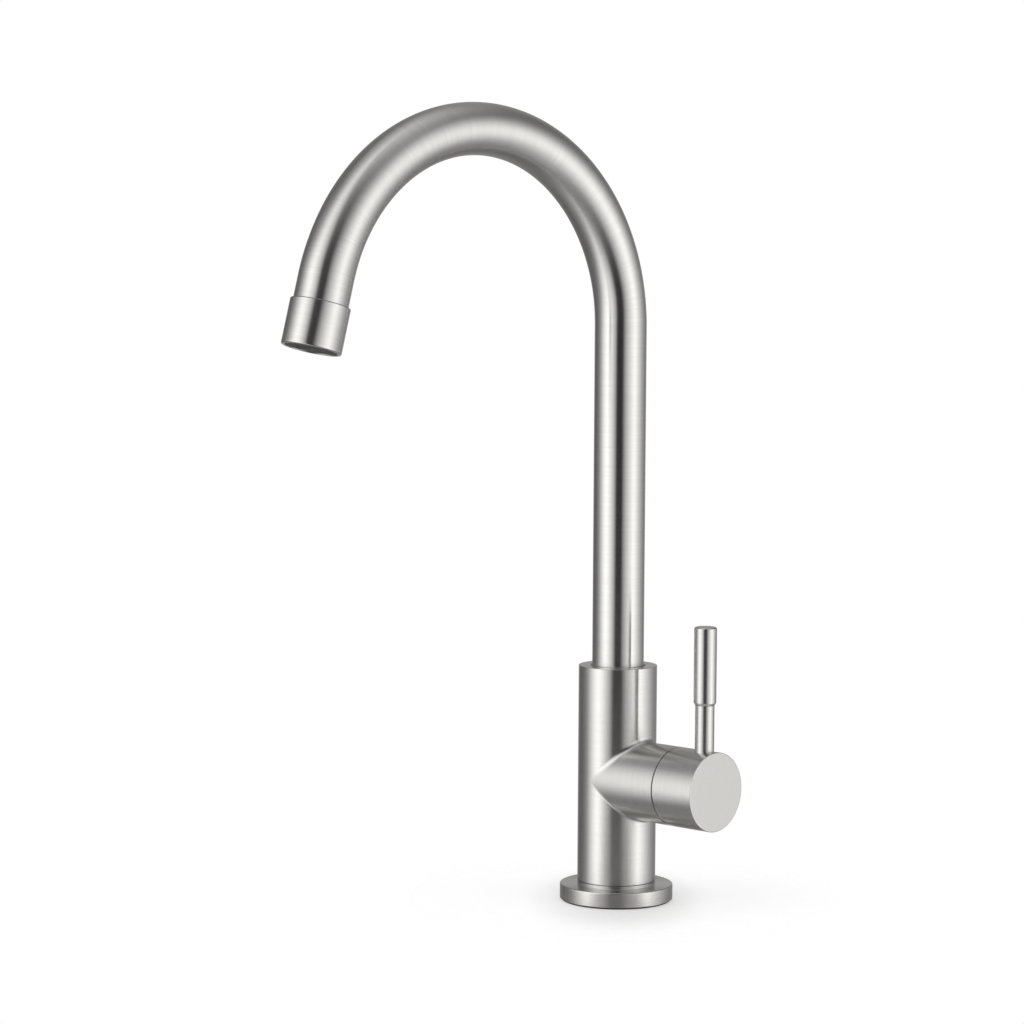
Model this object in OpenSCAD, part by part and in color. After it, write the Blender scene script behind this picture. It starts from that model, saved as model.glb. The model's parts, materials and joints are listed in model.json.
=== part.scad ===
// Gooseneck bar faucet: a single-hole mixer with a side lever, a swivelling
// spout and a 25 mm ceramic cartridge. The deck is the plane z = 0, the column
// stands on the Z axis, the lever boss runs along +X and the spout reaches
// towards -Y. All sizes are in millimetres and all angles in degrees.

/* [Column] */
// Width of the flat ring that the column's top leaves around the spout tube
column_step = 6.5; // [6:0.1:8.5]
// Wall thickness of the column
column_wall = 2; // [1.5:0.1:2.2]
// Height of the column's flat top above the deck
column_top = 115; // [113:0.5:150]
// Thickness of the lip that closes the column's top around the spout
lip_thickness = 6; // [4:0.5:8]

/* [Base] */
// Diameter of the base flange
flange_od = 55; // [54:0.5:70]
// Height of the flange's top above the deck
flange_top = 8; // [6:0.5:10]
// Height of the narrow collar between the flange and the column
collar_h = 1.9; // [1:0.1:4]
// Rounding of the flange's upper edge
flange_round = 0.7; // [0.2:0.1:1.5]
// Gap under the flange that the rubber seal fills
seal_gap = 0.8; // [0.4:0.1:1.5]
// How far the flange's threaded spigot reaches up into the column
spigot_h = 8; // [6:0.5:10]

/* [Waterways] */
// Radius of the tapped wall of each M10 x 1 hose inlet
inlet_r = 4.5; // [4:0.1:4.6]
// Depth of each inlet's thread
inlet_depth = 12; // [8:0.5:16]
// Distance between the two hose inlets
inlet_pitch = 12.4; // [12:0.2:14]
// Radius of the tapped wall of the M8 stud hole
stud_r = 3.4; // [2.4:0.1:3.6]
// Depth of the stud hole's thread
stud_depth = 14; // [8:0.5:18]
// Distance of the stud hole from the column's axis
stud_offset = 8.8; // [8.6:0.1:9.4]
// Radius of the drilled waterways
channel_r = 3.2; // [2.4:0.1:3.4]

/* [Boss] */
// Height of the lever boss axis above the deck
boss_z = 60; // [58:0.5:64]
// How far the boss stands out of the column, up to its seam with the hub
boss_reach = 19.6; // [19:0.1:25]
// Width of the seam
seam_gap = 0.45; // [0.4:0.05:0.6]

/* [Hub and lever] */
// Length of the hub, from the seam to its flat end
hub_length = 24.4; // [23:0.1:34]
// Wall thickness of the hub's thin rim
hub_rim_wall = 0.7; // [0.6:0.1:0.9]
// Chamfer of the hub's end face
hub_chamfer = 0.4; // [0.2:0.1:1]
// Distance from the hub's flat end to the lever's axis
lever_inset = 7.4; // [6:0.1:8]
// Diameter of the lever's lower rod
rod_od = 9.2; // [8:0.1:10]
// Diameter of the lever's upper grip
grip_od = 10.8; // [10.4:0.1:14]
// Height of the lever's tip above the deck
lever_top = 138.3; // [130:0.1:170]
// Length of the grip
grip_length = 37.3; // [25:0.1:45]
// Rounding of the grip's tip
grip_round = 1; // [0.4:0.1:2]
// Largest tilt of the lever away from the column
lever_tilt = 10; // [6:1:11]

/* [Cartridge] */
// Outside diameter of the ceramic cartridge
cartridge_od = 25; // [24:0.5:25.5]
// How deep the cartridge's seat lies in the column
seat_depth = 8; // [7.5:0.1:8.5]
// Thickness of the fixed ceramic disc
fixed_disc_h = 3.5; // [2.5:0.1:4]
// Thickness of the moving ceramic disc
moving_disc_h = 3; // [2:0.1:3.4]
// Distance from the cartridge's seat to the stem's pivot pin
pivot_reach = 19; // [18.8:0.1:19.4]
// Width of the square stem
stem_w = 6; // [5:0.1:6.6]
// Distance from the pivot to the stem's tip in the disc carrier
stem_arm = 5.4; // [5.2:0.1:5.5]
// Diameter of the pivot pin
pin_d = 3; // [2:0.1:3.4]

/* [Spout] */
// Outside diameter of the spout tube
tube_od = 25; // [24:0.5:26]
// Wall thickness of the spout tube
tube_wall = 1; // [0.8:0.1:1.4]
// Height where the straight tube turns into the arch
arch_start = 279; // [200:1:340]
// Radius of the arch, measured to the tube's centre line
arch_r = 92; // [70:1:110]
// Angle that the arch sweeps through
arch_sweep = 165; // [150:1:180]
// Straight length between the arch and the aerator
tail_length = 11.7; // [5:0.1:30]
// How far the spout is swung from the front, towards the far side from the lever
spout_swing = 4.3; // [0:0.1:20]

/* [Aerator] */
// How far the aerator cap stands proud of the tube
cap_step = 1.2; // [1:0.1:2.5]
// Length of the aerator cap
cap_length = 21; // [20:0.1:26]
// Wall thickness of the cap at its mouth
mouth_wall = 1.7; // [1.4:0.1:2.2]
// How far the screen lies inside the mouth
screen_recess = 0.5; // [0.4:0.1:2.6]

/* [Fits] */
// Radial clearance of parts that turn or slide in each other
running_fit = 0.08; // [0.03:0.01:0.1]
// Radial clearance of parts that are pressed, screwed or soldered together
fixed_fit = 0.05; // [0.03:0.01:0.08]
// Gap between faces that pass each other
face_gap = 0.3; // [0.2:0.05:0.4]

/* [Hidden] */
$fn = 96;
// Extra length of a cut that has to break through a face
through = 1;
// Small chamfer that breaks a turned edge
edge_break = 0.2;

// Column and base
tube_r = tube_od / 2;
tube_bore = tube_r - tube_wall;
column_r = tube_r + column_step;
column_bore = column_r - column_wall;
column_foot = flange_top + collar_h;
lip_under = column_top - lip_thickness;
flange_r = flange_od / 2;
spigot_top = column_foot + spigot_h;
spigot_r = column_bore - fixed_fit;
spigot_wall = 2.4;
spigot_bore = spigot_r - spigot_wall;
seal_inset = 0.9;
seal_width = 5.6;
seal_r = flange_r - seal_inset;
seal_bore = seal_r - seal_width;
seal_tongue = 1.2;
tongue_wall = 3;
tongue_inset = 1;
tongue_r = seal_bore + tongue_inset;

// Spout bearing
bush_bore = tube_r + running_fit;
bush_wall = 0.7;
bush_recess = 1;
bush_r = bush_bore + bush_wall;
bush_flange_h = 1.4;
bush_under = lip_under - bush_flange_h;
nut_top = bush_under - face_gap;
nut_h = 7;
nipple_step = 1.2;
nut_spare = 3;
core_top = nut_top - nut_h - nut_spare - nipple_step;
tube_bottom = core_top + face_gap + nipple_step;
nipple_r = 8.9;
nipple_bore = 5;
nipple_length = 22;
socket_depth = nipple_length + 2;
seal_wire = 1;
groove_w = 2.2;
seal_spacing = 6;

// Valve core
core_r = column_bore - fixed_fit;
core_bottom = spigot_top;
inlet_drop = 4.5;
mixed_rise = 6;
inlet_z = boss_z - inlet_drop;
mixed_z = boss_z + mixed_rise;
chamber_r = cartridge_od / 2 + fixed_fit;

// Cartridge, along the boss axis
seat_x = column_r - seat_depth;
pivot_x = seat_x + pivot_reach;
cart_r = cartridge_od / 2;
cart_base_h = 4;
cart_wall = 1.2;
cart_bore = cart_r - cart_wall;
disc_x = seat_x + cart_base_h;
moving_x = disc_x + fixed_disc_h;
carrier_x = moving_x + moving_disc_h;
moving_r = 8.4;
carrier_h = 5;
carrier_floor = 0.8;
tip_r = 2.1;
paddle_h = 3;
guide_x = carrier_x + carrier_h + face_gap;
shoulder_h = 2.6;
shoulder_x = guide_x + shoulder_h;
shoulder_w = 2;
neck_length = 8.6;
neck_end_x = shoulder_x + neck_length;
neck_wall = 2.2;
neck_r = cart_r - shoulder_w;
neck_bore = neck_r - neck_wall;
stem_root = 2.2;
pin_inset = 0.8;
guide_r = cart_bore - running_fit;
guide_neck_r = neck_bore - running_fit;
port_r = 2.6;
port_seal_wall = 1.1;
port_seal_r = port_r + port_seal_wall;
port_seal_h = 1.3;
port_y = inlet_pitch / 2;
port_slot = 2.2;

// Cartridge nut and shroud
seam_x = column_r + boss_reach;
nut_wall = 1.7;
nut_room = 1.2;
nut_thread_r = cart_r + nut_wall;
nut_length = 6.4;
nut_slot = 4;
nut_slot_h = 2;
shroud_wall = 1.2;
shroud_floor = 1.3;
recess_x = shoulder_x + face_gap;
// The shroud ends in a dome about the pivot, which the hub's rim clears at any tilt
dome_gap = 0.2;
dome_r = norm([column_r - hub_rim_wall, seam_x + seam_gap - pivot_x]) - dome_gap;
dome_steps = 8;
shroud_r = column_r - hub_rim_wall - face_gap;
nut_flange_r = shroud_r - shroud_wall - nut_room;
relief_x = pivot_x + (seam_x + face_gap - pivot_x + column_r * sin(lever_tilt)) / cos(lever_tilt);
dome_start = asin(shroud_r / dome_r);
dome_end = acos((relief_x + face_gap - pivot_x) / dome_r);

// Hub and lever
hub_r = column_r;
hub_x = seam_x + seam_gap;
hub_end_x = seam_x + hub_length;
lever_x = hub_end_x - lever_inset;
rim_bore = hub_r - hub_rim_wall;
web_x = pivot_x + dome_r * cos(dome_end - lever_tilt) + 2 * face_gap;
web_corner = 1.4;
stem_spare = 2.6;
stem_end_x = lever_x - stem_spare;
hub_screw_x = (web_x + stem_end_x) / 2;
hub_screw_r = 2.5;
hub_screw_h = 8;
hub_screw_key = 2.9;
hub_screw_socket = 3;
rod_r = rod_od / 2;
grip_r = grip_od / 2;
grip_bottom = lever_top - grip_length;
rod_sink = 2.5;
rod_seat = boss_z + hub_r - rod_sink;
tang_r = 3;
tang_length = 9;
tang_spare = 1;
tenon_step = 0.7;
tenon_r = rod_r - tenon_step;
grip_cap = 6;
tenon_length = grip_length - grip_cap;
grip_taper = 1.2;

// Spout end, along the flow. The tail is a hair thinner than the arch and starts inside it,
// so the two join in one clean solid
cap_r = tube_r + cap_step;
mouth_r = cap_r - mouth_wall;
tube_lap = 3.5;
tail_step = 0.03;
tail_overlap = 0.5;
thread_step = 0.5;
thread_r = tube_bore - thread_step;
thread_length = 8.5;
adaptor_end = tube_lap + thread_length;
adaptor_plug = 9;
adaptor_wall = 3;
adaptor_bore = thread_r - adaptor_wall;
washer_h = 1.5;
insert_x = adaptor_end + washer_h;
insert_r = mouth_r - fixed_fit;
insert_wall = 1;
insert_bore = insert_r - insert_wall;
jet_plate_h = 1.5;
jet_r = 0.7;
jet_count = 12;
screen_h = 0.6;
screen_x = cap_length - screen_recess - screen_h;
mesh_r = 0.55;
mesh_step = 2.2;

// A tube from z = low to z = high
module ring(outer, inner, low, high) {
    translate([0, 0, low]) difference() {
        cylinder(r = outer, h = high - low);
        translate([0, 0, -through]) cylinder(r = inner, h = high - low + 2 * through);
    }
}

// A round bar or cut from z = low to z = high
module bar(radius, low, high) {
    translate([0, 0, low]) cylinder(r = radius, h = high - low);
}

// Turns the Z axis into the boss axis: +Z becomes +X, and +X becomes down
module along_boss() {
    translate([0, 0, boss_z]) rotate([0, 90, 0]) children();
}

// Puts children into the spout's plane, where +X is the way it reaches
module along_spout() {
    rotate([0, 0, -90 - spout_swing]) children();
}

// Puts children at the end of the tail, with +Z along the flow
module at_outlet() {
    along_spout()
        translate([arch_r, 0, arch_start])
            rotate([0, arch_sweep, 0])
                translate([-arch_r, 0, tail_length]) children();
}

// The two inlet ports and the mixed port, as places on the cartridge's face
module at_ports() {
    for (side = [-1, 1]) translate([boss_z - inlet_z, side * port_y, 0]) children();
    translate([boss_z - mixed_z, 0, 0]) children();
}

module body_shell() {
    color("silver") difference() {
        union() {
            rotate_extrude() polygon([
                [0, column_foot],
                [column_r - edge_break, column_foot],
                [column_r, column_foot + edge_break],
                [column_r, column_top - edge_break],
                [column_r - edge_break, column_top],
                [0, column_top]
            ]);
            along_boss() rotate_extrude() polygon([
                [0, 0],
                [column_r, 0],
                [column_r, seam_x - edge_break],
                [column_r - edge_break, seam_x],
                [0, seam_x]
            ]);
        }
        bar(column_bore, column_foot - through, lip_under);
        bar(bush_r + fixed_fit, lip_under - through, column_top + through);
        along_boss() {
            bar(nut_thread_r + fixed_fit, seat_x, seam_x + through);
            bar(shroud_r + fixed_fit, recess_x, seam_x + through);
        }
    }
}

module base_flange() {
    color("silver") difference() {
        rotate_extrude() polygon(concat(
            [[spigot_bore, seal_gap], [flange_r - edge_break, seal_gap], [flange_r, seal_gap + edge_break]],
            [for (turn = [0:15:90]) [
                flange_r - flange_round + flange_round * cos(turn),
                flange_top - flange_round + flange_round * sin(turn)
            ]],
            [
                [column_r, flange_top],
                [column_r, column_foot - edge_break],
                [column_r - edge_break, column_foot],
                [spigot_r, column_foot],
                [spigot_r, spigot_top],
                [spigot_bore, spigot_top]
            ]
        ));
        ring(tongue_r + tongue_wall + fixed_fit, tongue_r - fixed_fit, 0, seal_gap + seal_tongue);
    }
}

module base_seal() {
    color("dimgray") {
        ring(seal_r, seal_bore, 0, seal_gap);
        ring(tongue_r + tongue_wall, tongue_r, 0, seal_gap + seal_tongue);
    }
}

module valve_core() {
    color("goldenrod") difference() {
        bar(core_r, core_bottom, core_top);
        for (side = [-1, 1]) translate([0, side * port_y, 0]) {
            bar(inlet_r, core_bottom - through, core_bottom + inlet_depth);
            bar(channel_r, core_bottom, inlet_z + channel_r);
        }
        translate([stud_offset, 0, 0]) bar(stud_r, core_bottom - through, core_bottom + stud_depth);
        along_boss() {
            bar(chamber_r, seat_x, column_r);
            at_ports() bar(port_r, 0, seat_x + through);
        }
        bar(channel_r, mixed_z - channel_r, core_top);
        bar(nipple_r + running_fit, core_top - socket_depth, core_top + through);
    }
}

module spout_bush() {
    color("white") {
        ring(column_bore - face_gap, bush_bore, bush_under, lip_under);
        ring(bush_r, bush_bore, bush_under, column_top - bush_recess);
    }
}

module port_seals() {
    color("dimgray") along_boss() at_ports() ring(port_seal_r, port_r, seat_x, seat_x + port_seal_h);
}

module cartridge_base() {
    color("gainsboro") along_boss() difference() {
        bar(cart_r, seat_x, disc_x);
        at_ports() bar(port_r, seat_x - through, disc_x + through);
        at_ports() bar(port_seal_r + fixed_fit, seat_x - through, seat_x + port_seal_h);
    }
}

module cartridge_housing() {
    color("whitesmoke") along_boss() difference() {
        union() {
            bar(cart_r, disc_x, shoulder_x);
            bar(neck_r, disc_x, neck_end_x);
        }
        bar(cart_bore, disc_x - through, shoulder_x - cart_wall);
        bar(neck_bore, disc_x - through, neck_end_x + through);
    }
}

module fixed_disc() {
    color("snow") along_boss() difference() {
        bar(cart_bore - fixed_fit, disc_x, moving_x);
        at_ports() bar(port_r, disc_x - through, moving_x + through);
    }
}

module moving_disc() {
    color("snow") along_boss() difference() {
        bar(moving_r, moving_x, carrier_x);
        bar(port_r + port_slot, moving_x - through, moving_x + moving_disc_h / 2);
    }
}

module disc_carrier() {
    slot_y = stem_w + 2 * running_fit;
    slot_z = 2 * tip_r + 2 * running_fit;
    color("lightslategray") along_boss() difference() {
        bar(moving_r, carrier_x, carrier_x + carrier_h);
        translate([-slot_z / 2, -slot_y / 2, carrier_x + carrier_floor]) cube([slot_z, slot_y, carrier_h]);
    }
}

module stem_guide() {
    slot_y = stem_w + 2 * running_fit;
    slot_z = stem_w + 2 * (neck_end_x - pivot_x) * sin(lever_tilt) + 6 * face_gap;
    color("lightslategray") along_boss() difference() {
        union() {
            bar(guide_r, guide_x, shoulder_x - cart_wall - face_gap);
            bar(guide_neck_r, guide_x, neck_end_x);
        }
        translate([-slot_z / 2, -slot_y / 2, guide_x - through])
            cube([slot_z, slot_y, neck_end_x - guide_x + 2 * through]);
        translate([0, guide_neck_r, pivot_x]) rotate([90, 0, 0])
            cylinder(r = pin_d / 2 + running_fit, h = 2 * guide_neck_r);
    }
}

module cartridge_nut() {
    color("goldenrod") along_boss() difference() {
        union() {
            bar(nut_thread_r, shoulder_x, shoulder_x + nut_length);
            bar(nut_flange_r, recess_x + shroud_floor, shoulder_x + nut_length);
        }
        bar(neck_r + fixed_fit, shoulder_x - through, shoulder_x + nut_length + through);
        for (side = [0, 1]) rotate([0, 0, 90 * side])
            translate([-nut_flange_r, -nut_slot / 2, shoulder_x + nut_length - nut_slot_h])
                cube([2 * nut_flange_r, nut_slot, nut_slot_h + through]);
    }
}

module cartridge_shroud() {
    inner_r = dome_r - shroud_wall;
    inner_start = asin((shroud_r - shroud_wall) / inner_r);
    color("silver") along_boss() rotate_extrude() polygon(concat(
        [
            [nut_thread_r + fixed_fit, recess_x],
            [shroud_r, recess_x]
        ],
        [for (step = [0:dome_steps])
            let (turn = dome_start + (dome_end - dome_start) * step / dome_steps)
            [dome_r * sin(turn), pivot_x + dome_r * cos(turn)]],
        [for (step = [dome_steps:-1:0])
            let (turn = inner_start + (dome_end - inner_start) * step / dome_steps)
            [inner_r * sin(turn), pivot_x + inner_r * cos(turn)]],
        [
            [shroud_r - shroud_wall, recess_x + shroud_floor],
            [nut_thread_r + fixed_fit, recess_x + shroud_floor]
        ]
    ));
}

module stem() {
    color("goldenrod") difference() {
        union() {
            translate([pivot_x - stem_arm, stem_w / 2, boss_z]) rotate([90, 0, 0])
                cylinder(r = tip_r, h = stem_w);
            translate([pivot_x - stem_arm, -stem_w / 2, boss_z - paddle_h / 2])
                cube([stem_arm, stem_w, paddle_h]);
            translate([pivot_x - stem_root, -stem_w / 2, boss_z - stem_w / 2])
                cube([stem_end_x - pivot_x + stem_root, stem_w, stem_w]);
        }
        translate([pivot_x, stem_w, boss_z]) rotate([90, 0, 0])
            cylinder(r = pin_d / 2 + fixed_fit, h = 2 * stem_w);
    }
}

module pivot_pin() {
    pin_length = 2 * (guide_neck_r - pin_inset);
    color("silver") translate([pivot_x, pin_length / 2, boss_z]) rotate([90, 0, 0])
        cylinder(r = pin_d / 2, h = pin_length);
}

module handle_hub() {
    socket_w = stem_w + 2 * fixed_fit;
    color("silver") difference() {
        along_boss() rotate_extrude() polygon([
            [0, web_x],
            [rim_bore - web_corner, web_x],
            [rim_bore, web_x - web_corner],
            [rim_bore, hub_x],
            [hub_r - edge_break, hub_x],
            [hub_r, hub_x + edge_break],
            [hub_r, hub_end_x - hub_chamfer],
            [hub_r - hub_chamfer, hub_end_x],
            [0, hub_end_x]
        ]);
        translate([web_x - through, -socket_w / 2, boss_z - socket_w / 2])
            cube([stem_end_x + fixed_fit - web_x + through, socket_w, socket_w]);
        translate([lever_x, 0, 0]) {
            bar(rod_r + fixed_fit, rod_seat, boss_z + hub_r + through);
            bar(tang_r + fixed_fit, rod_seat - tang_length - tang_spare, rod_seat + through);
        }
        translate([hub_screw_x, 0, 0]) bar(hub_screw_r + fixed_fit, boss_z - hub_r - through, boss_z);
        tilt_relief();
    }
}

// Cuts the hub's rim back so that at full tilt it still clears the boss
module tilt_relief() {
    translate([pivot_x, 0, boss_z]) rotate([0, -lever_tilt, 0])
        translate([seam_x + face_gap - pivot_x - 2 * hub_r, -2 * hub_r, -2 * hub_r])
            cube([2 * hub_r, 4 * hub_r, 4 * hub_r]);
}

module hub_screw() {
    screw_top = boss_z - stem_w / 2;
    color("darkgray") translate([hub_screw_x, 0, 0]) difference() {
        bar(hub_screw_r, screw_top - hub_screw_h, screw_top);
        translate([0, 0, screw_top - hub_screw_h - through])
            cylinder(d = hub_screw_key, h = hub_screw_socket + through, $fn = 6);
    }
}

module lever_rod() {
    color("silver") translate([lever_x, 0, 0]) {
        bar(tang_r, rod_seat - tang_length, rod_seat);
        bar(rod_r, rod_seat, grip_bottom);
        bar(tenon_r, grip_bottom, grip_bottom + tenon_length);
    }
}

module lever_grip() {
    color("silver") translate([lever_x, 0, 0]) rotate_extrude() polygon(concat(
        [
            [0, grip_bottom + tenon_length],
            [tenon_r + fixed_fit, grip_bottom + tenon_length],
            [tenon_r + fixed_fit, grip_bottom],
            [rod_r, grip_bottom],
            [grip_r, grip_bottom + grip_taper]
        ],
        [for (turn = [0:15:90]) [
            grip_r - grip_round + grip_round * cos(turn),
            lever_top - grip_round + grip_round * sin(turn)
        ]],
        [[0, lever_top]]
    ));
}

// The solid path of the spout, as a bar of the given radius with longer ends for a cut
module spout_path(radius, extra) {
    along_spout() {
        bar(radius, tube_bottom - extra, arch_start);
        translate([arch_r, 0, arch_start]) {
            rotate([90, 0, 180])
                rotate_extrude(angle = arch_sweep) translate([arch_r, 0]) circle(r = radius);
            rotate([0, arch_sweep, 0]) translate([-arch_r, 0, 0])
                bar(radius - tail_step, -tail_overlap, tail_length + tube_lap + extra);
        }
    }
}

module spout_tube() {
    color("silver") difference() {
        spout_path(tube_r, 0);
        spout_path(tube_bore, through);
    }
}

module spout_nipple() {
    flange_under = core_top + face_gap;
    color("goldenrod") difference() {
        union() {
            bar(nipple_r, core_top - nipple_length, flange_under);
            bar(tube_r, flange_under, tube_bottom);
            bar(tube_bore - fixed_fit, flange_under, tube_bottom + nut_h);
        }
        bar(nipple_bore, core_top - nipple_length - through, tube_bottom + nut_h + through);
        for (seal = [1, 2]) {
            seal_z = core_top - seal * seal_spacing;
            ring(nipple_r + through, nipple_r - 2 * seal_wire, seal_z - groove_w / 2, seal_z + groove_w / 2);
        }
    }
}

module spout_seals() {
    seal_centre = nipple_r - seal_wire + fixed_fit / 2;
    color("dimgray") for (seal = [1, 2]) translate([0, 0, core_top - seal * seal_spacing])
        rotate_extrude() translate([seal_centre, 0]) circle(r = seal_wire - fixed_fit / 2, $fn = 24);
}

module spout_nut() {
    color("goldenrod") ring(column_bore - 2 * face_gap, tube_r + fixed_fit, nut_top - nut_h, nut_top);
}

module outlet_adaptor() {
    color("goldenrod") at_outlet() difference() {
        union() {
            bar(tube_bore - tail_step - 2 * fixed_fit, -adaptor_plug, tube_lap);
            bar(thread_r, tube_lap, adaptor_end);
        }
        bar(adaptor_bore, -adaptor_plug - through, adaptor_end + through);
    }
}

module aerator_cap() {
    color("silver") at_outlet() difference() {
        rotate_extrude() polygon([
            [0, 0],
            [cap_r - 2 * edge_break, 0],
            [cap_r, 2 * edge_break],
            [cap_r, cap_length - edge_break],
            [cap_r - edge_break, cap_length],
            [0, cap_length]
        ]);
        bar(tube_r + fixed_fit, -through, tube_lap + face_gap);
        bar(thread_r + fixed_fit, 0, insert_x + through);
        bar(mouth_r, insert_x, cap_length + through);
    }
}

module aerator_washer() {
    color("dimgray") at_outlet() ring(thread_r, adaptor_bore, adaptor_end, insert_x);
}

module aerator_insert() {
    color("white") at_outlet() difference() {
        bar(insert_r, insert_x, screen_x);
        bar(insert_bore, insert_x + jet_plate_h, screen_x + through);
        for (jet = [1:jet_count]) rotate([0, 0, jet * 360 / jet_count])
            translate([adaptor_bore / 2, 0, 0]) bar(jet_r, insert_x - through, screen_x);
    }
}

module aerator_screen() {
    color("gray") at_outlet() difference() {
        bar(insert_r, screen_x, screen_x + screen_h);
        for (row = [-5:5]) for (column = [-5:5]) {
            hole = [(column + row % 2 / 2) * mesh_step, row * mesh_step * sqrt(3) / 2];
            if (norm(hole) < insert_bore - mesh_r)
                translate(hole) bar(mesh_r, screen_x - through, screen_x + screen_h + through);
        }
    }
}

body_shell();
base_flange();
base_seal();
valve_core();
spout_bush();
port_seals();
cartridge_base();
cartridge_housing();
fixed_disc();
moving_disc();
disc_carrier();
stem_guide();
cartridge_nut();
cartridge_shroud();
stem();
pivot_pin();
handle_hub();
hub_screw();
lever_rod();
lever_grip();
spout_tube();
spout_nipple();
spout_seals();
spout_nut();
outlet_adaptor();
aerator_cap();
aerator_washer();
aerator_insert();
aerator_screen();
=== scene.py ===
"""Gooseneck bar faucet: the visible pieces, their finishes, the studio and the camera.

Lengths are written in millimetres, as in the part's source, and turned into metres where a mesh is
made. Every turned piece is a profile of (radius, height) points spun about an axis.
"""
import json
import math

import bmesh
import bpy
from mathutils import Matrix, Vector


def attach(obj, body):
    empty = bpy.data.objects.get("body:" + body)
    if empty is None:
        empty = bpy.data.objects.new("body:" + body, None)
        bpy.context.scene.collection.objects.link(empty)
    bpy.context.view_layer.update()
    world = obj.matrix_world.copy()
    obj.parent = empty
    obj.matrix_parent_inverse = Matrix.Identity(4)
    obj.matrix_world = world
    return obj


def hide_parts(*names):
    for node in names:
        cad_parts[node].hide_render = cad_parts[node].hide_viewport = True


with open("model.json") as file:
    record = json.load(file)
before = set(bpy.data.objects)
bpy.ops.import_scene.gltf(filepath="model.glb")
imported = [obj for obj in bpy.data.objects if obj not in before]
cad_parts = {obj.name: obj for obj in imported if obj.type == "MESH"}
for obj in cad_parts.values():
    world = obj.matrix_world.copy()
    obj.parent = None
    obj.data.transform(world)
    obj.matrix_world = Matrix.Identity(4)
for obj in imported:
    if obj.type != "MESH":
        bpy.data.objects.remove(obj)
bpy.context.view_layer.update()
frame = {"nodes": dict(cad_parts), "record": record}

MM = 0.001
FULL_TURN = 2 * math.pi
SECTIONS = 192

# Fits and edges
FIXED_FIT = 0.05
RUNNING_FIT = 0.08
FACE_GAP = 0.3
HAIR_GAP = 0.02  # between faces that touch on the real one
THROUGH = 1  # how far a cutter goes past what it cuts
EDGE_BREAK = 0.2
FINE_BREAK = 0.15

# Spout tube
TUBE_R = 12.5
TUBE_WALL = 1
TUBE_BOTTOM = 97.6
ARCH_START = 279
ARCH_R = 92
ARCH_SWEEP = 165
ARCH_FLATTENING = 0.025  # share of the radius
FLATTENING_RAMP = 12  # degrees from each end of the arch
TAIL_LENGTH = 11.7
TUBE_LAP = 3.5  # how far the tube goes into the cap
TUBE_SECTIONS = 128
TUBE_RINGS = 230
SPOUT_SWING = 4.3

# Column
COLUMN_STEP = 6.5
COLUMN_WALL = 2
COLUMN_TOP = 115
LIP_THICKNESS = 6
LIP_DEPTH = 0.3  # of the flare round the tube
LIP_FLARE = 0.4
FLARE_PAST = 0.05
TOP_BREAK = 0.25
TOP_LEDGE = 0.05  # depth of the top face with the crest of its rounding
COLUMN_R = TUBE_R + COLUMN_STEP
COLUMN_BORE = COLUMN_R - COLUMN_WALL
LIP_UNDER = COLUMN_TOP - LIP_THICKNESS

# Foot
FLANGE_R = 27.5
FLANGE_TOP = 8
FLANGE_ROUND = 0.7
COLLAR_H = 1.9
COLLAR_LINE = 0.3
COLLAR_BREAK = 0.12
SEAL_GAP = 0.8
SEAL_INSET = 0.9
SEAL_WIDTH = 5.6
SPIGOT_H = 8
SPIGOT_WALL = 2.4
COLUMN_FOOT = FLANGE_TOP + COLLAR_H
COLLAR_TOP = COLUMN_FOOT - COLLAR_LINE
SEAL_R = FLANGE_R - SEAL_INSET
SEAL_BORE = SEAL_R - SEAL_WIDTH
SPIGOT_TOP = COLUMN_FOOT + SPIGOT_H
SPIGOT_R = COLUMN_BORE - FIXED_FIT
SPIGOT_BORE = SPIGOT_R - SPIGOT_WALL

# Spout bush
BUSH_WALL = 0.7
BUSH_RECESS = 1
BUSH_FLANGE_H = 1.4
BUSH_FLANGE_R = 16.7
BUSH_BORE = TUBE_R + RUNNING_FIT
BUSH_R = BUSH_BORE + BUSH_WALL
BUSH_TOP = COLUMN_TOP - BUSH_RECESS
BUSH_BOTTOM = LIP_UNDER - BUSH_FLANGE_H

# Boss and its weld
BOSS_Z = 60
BOSS_REACH = 19.6
SEAT_DEPTH = 8
RECESS_X = 29.7
THREAD_BORE = 14.25
WELD_REACH = 2.8
LOWER_WELD_REACH = 1.5
WELD_SPREAD = 0.45
WELD_STEPS = 6
BESIDE_WELD = 0.1
SEAM_X = COLUMN_R + BOSS_REACH
SEAT_X = COLUMN_R - SEAT_DEPTH

# Hub and shroud
PIVOT_REACH = 19
SEAM_LINE = 0.6
HUB_LENGTH = 24.4
HUB_RIM_WALL = 0.7
HUB_CHAMFER = 1.4
HUB_BREAK = 0.4
END_RING = 1.5  # beside the end's edge, so that the end stays flat
WEB_X = 45.7
STEM_HALF = 3.05
STEM_END_X = 53.05
SCREW_X = 49.35
SCREW_R = 2.55
SHROUD_WALL = 1.2
SHROUD_FLOOR = 1.3
DOME_R = 20.2
DOME_REACH = 12.69
DOME_STEPS = 8
PIVOT_X = SEAT_X + PIVOT_REACH
HUB_RIM_X = SEAM_X + SEAM_LINE
HUB_END_X = SEAM_X + HUB_LENGTH
HUB_BORE = COLUMN_R - HUB_RIM_WALL
SHROUD_R = HUB_BORE - FACE_GAP

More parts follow.
